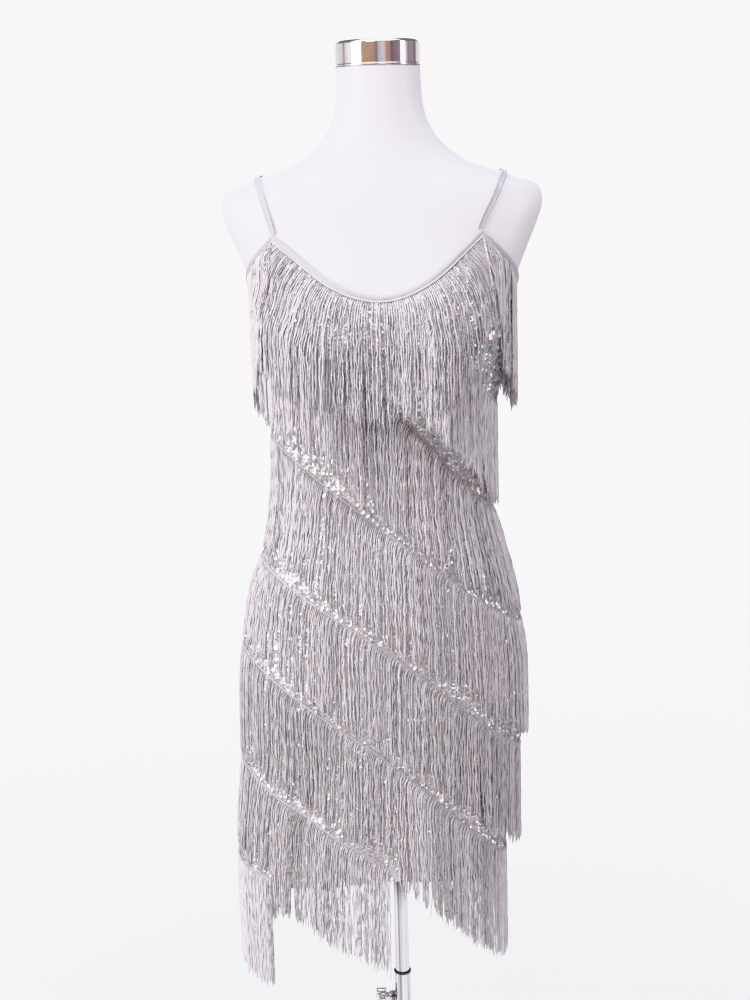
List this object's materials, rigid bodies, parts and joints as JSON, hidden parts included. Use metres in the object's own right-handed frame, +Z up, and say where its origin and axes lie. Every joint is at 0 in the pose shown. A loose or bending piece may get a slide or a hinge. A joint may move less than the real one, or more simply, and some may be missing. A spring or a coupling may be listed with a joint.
{
  "type": "sequin dress on dress form",
  "caption": "Sleeveless sequin mini dress with thin straps and diagonal rows of long fringe, shown on a limbless dress form with an adjustable pole and a round base.",
  "frame": {"origin": "centre of the base plate's underside, on the floor under the pole", "axes": "+Z up along the pole; the dress's front faces -Y; +X is the wearer's left"},
  "size_m": [0.3865, 0.34, 1.5733],
  "materials": {
    "sequin_mesh": "gloss",
    "fringe": "satin",
    "tape": "matte",
    "satin": "satin",
    "form_shell": "satin",
    "chrome": "polished",
    "bush": "matte",
    "base_steel": "satin"
  },
  "bodies": {
    "stand": {"base_plate": "base_steel", "base_hub": "chrome", "lower_tube": "chrome", "tube_bush": "bush"},
    "clamp": {"clamp_knob": "chrome"},
    "mast": {"upper_tube": "chrome"},
    "form": {"binding_armhole_left": "satin", "binding_armhole_right": "satin", "binding_back": "satin", "binding_neck": "satin", "form_socket": "chrome", "form_torso": "form_shell", "fringe_row_1_back": "fringe", "fringe_row_1_front": "fringe", "fringe_row_2_back": "fringe", "fringe_row_2_front": "fringe", "fringe_row_3_back": "fringe", "fringe_row_3_front": "fringe", "fringe_row_4_back": "fringe", "fringe_row_4_front": "fringe", "fringe_row_5_back": "fringe", "fringe_row_5_front": "fringe", "fringe_row_6_back": "fringe", "fringe_row_6_front": "fringe", "fringe_row_7_back": "fringe", "fringe_row_7_front": "fringe", "fringe_row_8_back": "fringe", "fringe_row_8_front": "fringe", "neck_cap": "chrome", "panel_back": "sequin_mesh", "panel_front": "sequin_mesh", "strap_left": "satin", "strap_right": "satin", "tape_row_2_back": "tape", "tape_row_2_front": "tape", "tape_row_3_back": "tape", "tape_row_3_front": "tape", "tape_row_4_back": "tape", "tape_row_4_front": "tape", "tape_row_5_back": "tape", "tape_row_5_front": "tape", "tape_row_6_back": "tape", "tape_row_6_front": "tape", "tape_row_7_back": "tape", "tape_row_7_front": "tape", "tape_row_8_back": "tape", "tape_row_8_front": "tape"}
  },
  "joints": [
    {"name": "mast_slide", "type": "slide", "parent": "stand", "child": "mast", "axis": [0, 0, 1], "range_m": [-0.15, 0.18]},
    {"name": "form_swivel", "type": "hinge", "parent": "mast", "child": "form", "pos_m": [0, 0, 0.715], "axis": [0, 0, 1], "continuous": true},
    {"name": "clamp_turn", "type": "hinge", "parent": "stand", "child": "clamp", "pos_m": [-0.02, 0, 0.398], "axis": [-1, 0, 0], "range_deg": [0, 360]}
  ]
}
